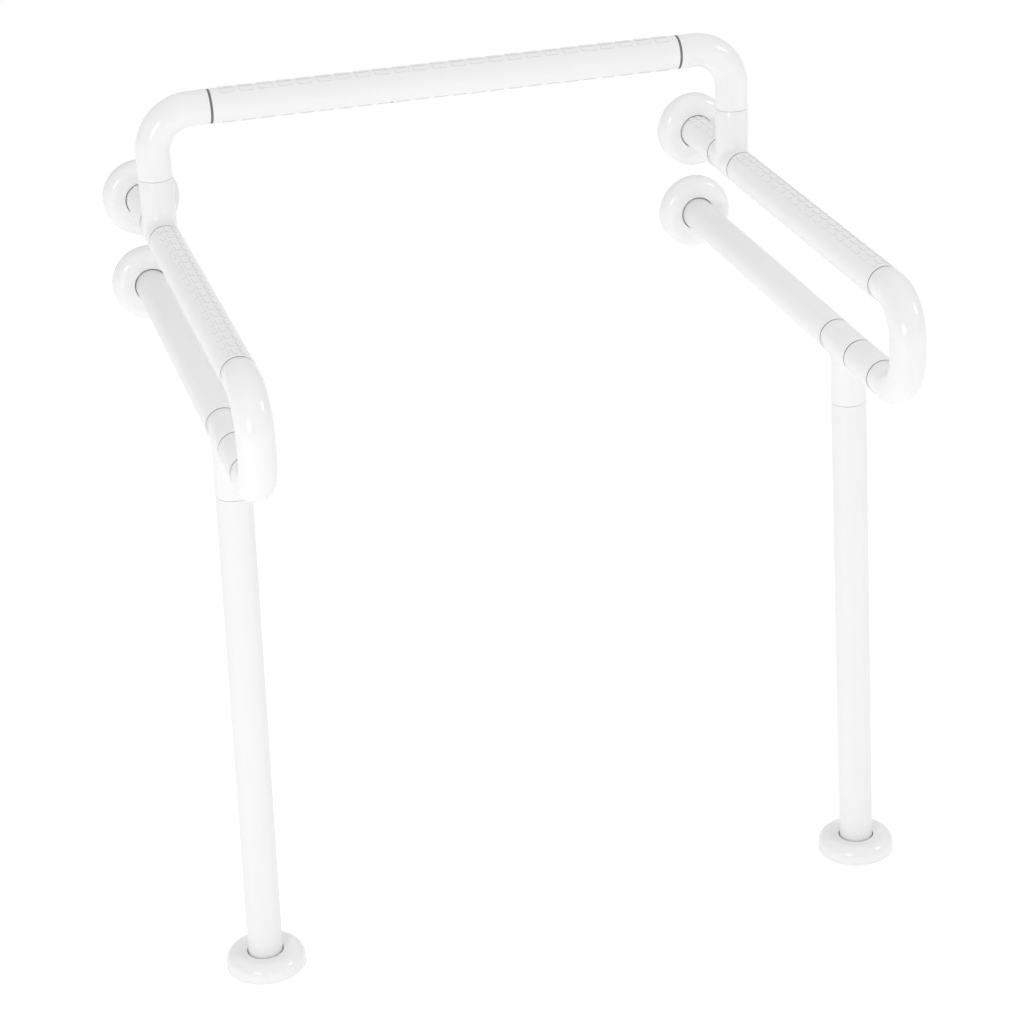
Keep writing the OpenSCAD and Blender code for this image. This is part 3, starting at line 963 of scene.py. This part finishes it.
def domed_cover():
    """Cut from a disc: its rim is rounded over, its face dished to the hole, its inside hollow."""
    cover = cylinder(cover_radius, 0, cover_height, segments=128)
    with editing(cover):
        choose(cover, "EDGE", on_rim(cover_radius, cover_height))
        bpy.ops.mesh.bevel(offset=cover_edge, segments=14, affect="EDGES")
        choose(cover, "FACE", lambda middle, face: face.normal.z > 0.999)
        flat_radius = cover_radius - cover_edge
        quarter = math.pi / 2
        for ring in range(dish_rings):
            bpy.ops.mesh.inset(thickness=(flat_radius - cover_hole) / dish_rings)
            share = math.sin(quarter * (ring + 1) / dish_rings) - math.sin(quarter * ring / dish_rings)
            bpy.ops.transform.translate(value=(0, 0, -cover_dish * share))
        bpy.ops.mesh.delete(type="FACE")
        choose(cover, "FACE", lambda middle, face: face.normal.z < -0.9)
        bpy.ops.mesh.delete(type="FACE")
        bpy.ops.mesh.select_all(action="SELECT")
        bpy.ops.mesh.normals_make_consistent(inside=False)
    # An open shell has no sure outside, so its top is made to face up.
    if sum(face.normal.z for face in cover.data.polygons) < 0:
        with editing(cover):
            bpy.ops.mesh.select_all(action="SELECT")
            bpy.ops.mesh.flip_normals()
    apply_modifier(cover, "SOLIDIFY", thickness=cover_wall, offset=-1.0)

    def lip(middle, edge):
        round_hole = abs(from_axis(middle) - cover_hole) < 2 * on_face and middle.z > cover_height / 2
        return sharp(edge) and round_hole

    with editing(cover):
        choose(cover, "EDGE", lip)
        bpy.ops.mesh.bevel(offset=cover_lip, segments=3, affect="EDGES")
        choose(cover, "EDGE", on_rim(cover_radius, 0))
        bpy.ops.mesh.bevel(offset=cover_foot_rim, segments=2, affect="EDGES")
    return cover


def add_gripping_ribs(cover):
    """Short upright ribs round the inside of the cover's foot."""
    inner = cover_radius - cover_wall
    for number in range(rib_count):
        bpy.ops.mesh.primitive_cube_add(size=1, location=(inner - rib_sink, 0, rib_height))
        rib = bpy.context.object
        rib.scale = rib_size
        place_in_mesh(rib)
        with editing(rib):
            choose(rib, "EDGE", lambda middle, edge: middle.x < inner - rib_size.x / 3)
            bpy.ops.mesh.bevel(offset=rib_rounding, segments=2, affect="EDGES")
        turn = (number + 0.5) * math.tau / rib_count
        rib.rotation_euler = (0, 0, turn)
        place_in_mesh(rib)
        combine(cover, rib, "UNION")


def cover_piece(name, start, along, top):
    cover = domed_cover()
    add_gripping_ribs(cover)
    lay(cover, start, along, top)
    finish_piece(cover, name + "_nylon", name, moulded_nylon, [name], smooth_below=40)


for side in SIDES:
    for level in ("upper", "lower"):
        name = f"wall_cover_{level}_{side}"
        middle = centre_of(name)
        cover_piece(name, Vector((middle.x, wall_y, middle.z)), FRONT, UP)
    middle = centre_of(f"floor_cover_{side}")
    cover_piece(f"floor_cover_{side}", Vector((middle.x, middle.y, 0)), UP, -FRONT)

# ---- Floor, light and camera ----
# A pale floor that glows a little, as a white studio sweep does, under a soft sky. One lamp in
# front on the left gives the shading and one on the right lifts the shadow side.


floor_gap = 0.0002


def pale_floor(glow):
    material, tree, shader = new_material(
        "pale_floor", Roughness=0.9, Emission_Color=(1, 1, 1, 1), Emission_Strength=glow,
    )
    place = add_node(tree, "ShaderNodeTexCoord").outputs["Object"]
    tone = mix_colours(tree, noise(tree, place, 1.5), (0.89, 0.89, 0.89, 1), (0.91, 0.91, 0.91, 1))
    tree.links.new(tone.outputs["Result"], shader.inputs["Base Color"])
    bpy.ops.mesh.primitive_plane_add(size=80, location=(0, 0, -floor_gap))
    floor = bpy.context.object
    floor.name = "floor"
    floor.data.materials.append(material)
    place_in_mesh(floor)


def soft_lamp(name, place, aim, size, power):
    lamp = bpy.data.lights.new(name, "AREA")
    lamp.shape = "DISK"
    lamp.size = size
    lamp.energy = power
    holder = bpy.data.objects.new(name, lamp)
    holder.location = place
    holder.rotation_euler = (Vector(aim) - Vector(place)).to_track_quat("-Z", "Y").to_euler()
    bpy.context.scene.collection.objects.link(holder)


def soft_sky(brightest_towards, dim, bright):
    world = bpy.data.worlds.new("studio")
    world.use_nodes = True
    tree = world.node_tree
    direction = add_node(tree, "ShaderNodeTexCoord").outputs["Generated"]
    facing = add_node(tree, "ShaderNodeVectorMath", {
        0: direction, 1: Vector(brightest_towards).normalized(),
    }, operation="DOT_PRODUCT").outputs["Value"]
    strength = spread(tree, facing, dim, bright, start=-1.0, end=1.0)
    background = tree.nodes["Background"]
    background.inputs["Color"].default_value = (1, 1, 1, 1)
    tree.links.new(strength, background.inputs["Strength"])
    bpy.context.scene.world = world


pale_floor(glow=0.24)
soft_lamp("key_lamp", (-2.6, -3.2, 1.6), (0, 0, 0.5), 0.9, 39)
soft_lamp("side_lamp", (2.8, -1.2, 2.4), (0, 0, 0.5), 0.7, 15)
soft_sky((0.15, 0.35, 1.0), dim=0.22, bright=0.94)
bpy.context.scene.view_settings.view_transform = "Standard"

yaw = math.radians(16.58)
pitch = math.radians(26.19)
roll = math.radians(-2.03)
camera = bpy.data.cameras.new("camera")
camera.sensor_width = 36
camera.lens = 96.73
camera.shift_x = -0.078
camera.shift_y = 0.078
camera.clip_start = 0.05
camera_object = bpy.data.objects.new("camera", camera)
bpy.context.scene.collection.objects.link(camera_object)
aim = Vector((math.sin(yaw) * math.cos(pitch), math.cos(yaw) * math.cos(pitch), -math.sin(pitch)))
level_turn = aim.to_track_quat("-Z", "Y").to_matrix()
camera_turn = level_turn @ Matrix.Rotation(roll, 3, "Z")
camera_place = Vector((-0.66645, wall_y - 2.82172, 1.56926))
camera_object.matrix_world = Matrix.Translation(camera_place) @ camera_turn.to_4x4()
bpy.context.scene.camera = camera_object
